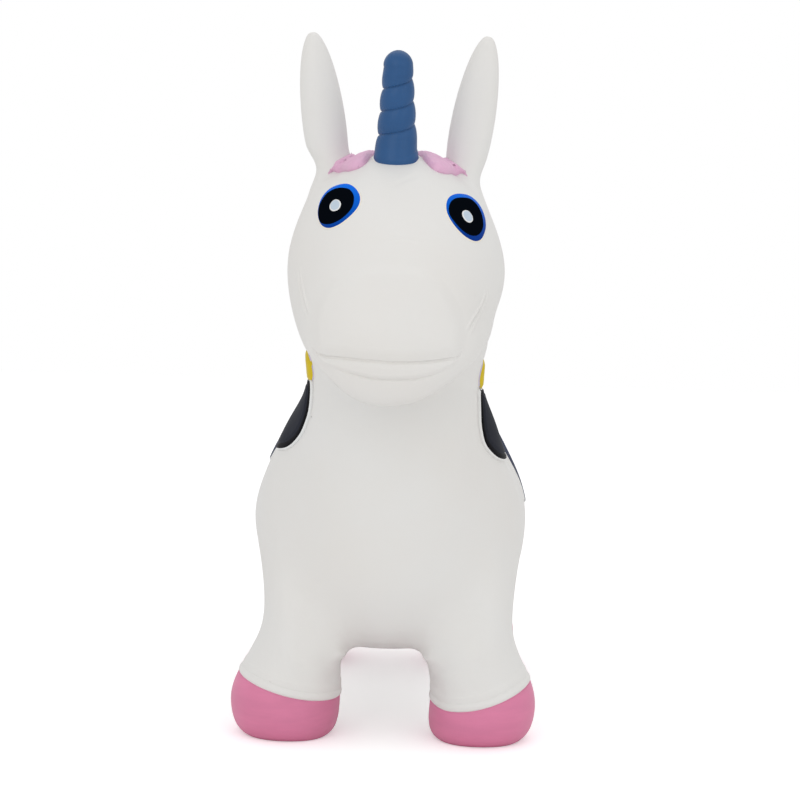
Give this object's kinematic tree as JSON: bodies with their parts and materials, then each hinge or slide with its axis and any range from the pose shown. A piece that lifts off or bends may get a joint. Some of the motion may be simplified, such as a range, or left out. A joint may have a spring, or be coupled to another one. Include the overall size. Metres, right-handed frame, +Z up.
{
  "type": "bouncy ride-on animal",
  "caption": "Inflatable bouncing ride-on unicorn: hollow soft vinyl body on short splayed legs, with flexing ears, spiral horn, moulded saddle and a plugged air valve under the belly.",
  "frame": {"origin": "on the floor, midway between nose and rump in the plane of symmetry", "axes": "+Z up along the ears, -Y towards the nose, +X towards the toy's own left"},
  "size_m": [0.2634, 0.5678, 0.6002],
  "materials": {
    "white_vinyl": "satin",
    "pink_vinyl": "satin",
    "blue_vinyl": "satin",
    "pale_pink_paint": "satin",
    "black_paint": "satin",
    "navy_paint": "satin",
    "yellow_paint": "satin",
    "iris_paint": "gloss",
    "pupil_paint": "gloss",
    "glint_paint": "gloss",
    "valve_plastic": "satin"
  },
  "bodies": {
    "body": {"torso_skin": "white_vinyl", "neck_skin": "white_vinyl", "head_skin": "white_vinyl", "muzzle": "white_vinyl", "horn": "blue_vinyl", "front_left_leg": "white_vinyl", "front_right_leg": "white_vinyl", "rear_left_leg": "white_vinyl", "rear_right_leg": "white_vinyl", "left_eye_iris": "iris_paint", "left_eye_pupil": "pupil_paint", "left_eye_glint": "glint_paint", "right_eye_iris": "iris_paint", "right_eye_pupil": "pupil_paint", "right_eye_glint": "glint_paint", "saddle_blanket": "navy_paint", "saddle_pommel": "yellow_paint", "saddle_seat": "black_paint", "mane": "pale_pink_paint", "forelock_left": "pale_pink_paint", "forelock_right": "pale_pink_paint", "tail": "pale_pink_paint", "valve_socket": "valve_plastic"},
    "left_ear": {"left_ear": "white_vinyl"},
    "right_ear": {"right_ear": "white_vinyl"},
    "front_left_hoof": {"front_left_hoof": "pink_vinyl"},
    "front_right_hoof": {"front_right_hoof": "pink_vinyl"},
    "rear_left_hoof": {"rear_left_hoof": "pink_vinyl"},
    "rear_right_hoof": {"rear_right_hoof": "pink_vinyl"},
    "valve_plug": {"valve_plug": "valve_plastic"}
  },
  "joints": [
    {"name": "front_left_squash", "type": "slide", "parent": "body", "child": "front_left_hoof", "axis": [0, 0, 1], "range_m": [0, 0.014], "stiffness_N_per_m": 3500, "springref_m": -0.005, "deforming": ["front_left_leg"]},
    {"name": "front_right_squash", "type": "slide", "parent": "body", "child": "front_right_hoof", "axis": [0, 0, 1], "range_m": [0, 0.014], "stiffness_N_per_m": 3500, "springref_m": -0.005, "deforming": ["front_right_leg"]},
    {"name": "rear_left_squash", "type": "slide", "parent": "body", "child": "rear_left_hoof", "axis": [0, 0, 1], "range_m": [0, 0.014], "stiffness_N_per_m": 3500, "springref_m": -0.005, "deforming": ["rear_left_leg"]},
    {"name": "rear_right_squash", "type": "slide", "parent": "body", "child": "rear_right_hoof", "axis": [0, 0, 1], "range_m": [0, 0.014], "stiffness_N_per_m": 3500, "springref_m": -0.005, "deforming": ["rear_right_leg"]},
    {"name": "left_ear_flex", "type": "hinge", "parent": "body", "child": "left_ear", "pos_m": [0.0612, -0.1044, 0.5153], "axis": [1, 0, 0], "range_deg": [-20, 20], "stiffness_Nm_per_rad": 0.6},
    {"name": "right_ear_flex", "type": "hinge", "parent": "body", "child": "right_ear", "pos_m": [-0.0612, -0.1044, 0.5153], "axis": [1, 0, 0], "range_deg": [-20, 20], "stiffness_Nm_per_rad": 0.6},
    {"name": "valve_plug_pull", "type": "slide", "parent": "body", "child": "valve_plug", "axis": [0, 0, -1], "range_m": [0, 0.014]}
  ]
}
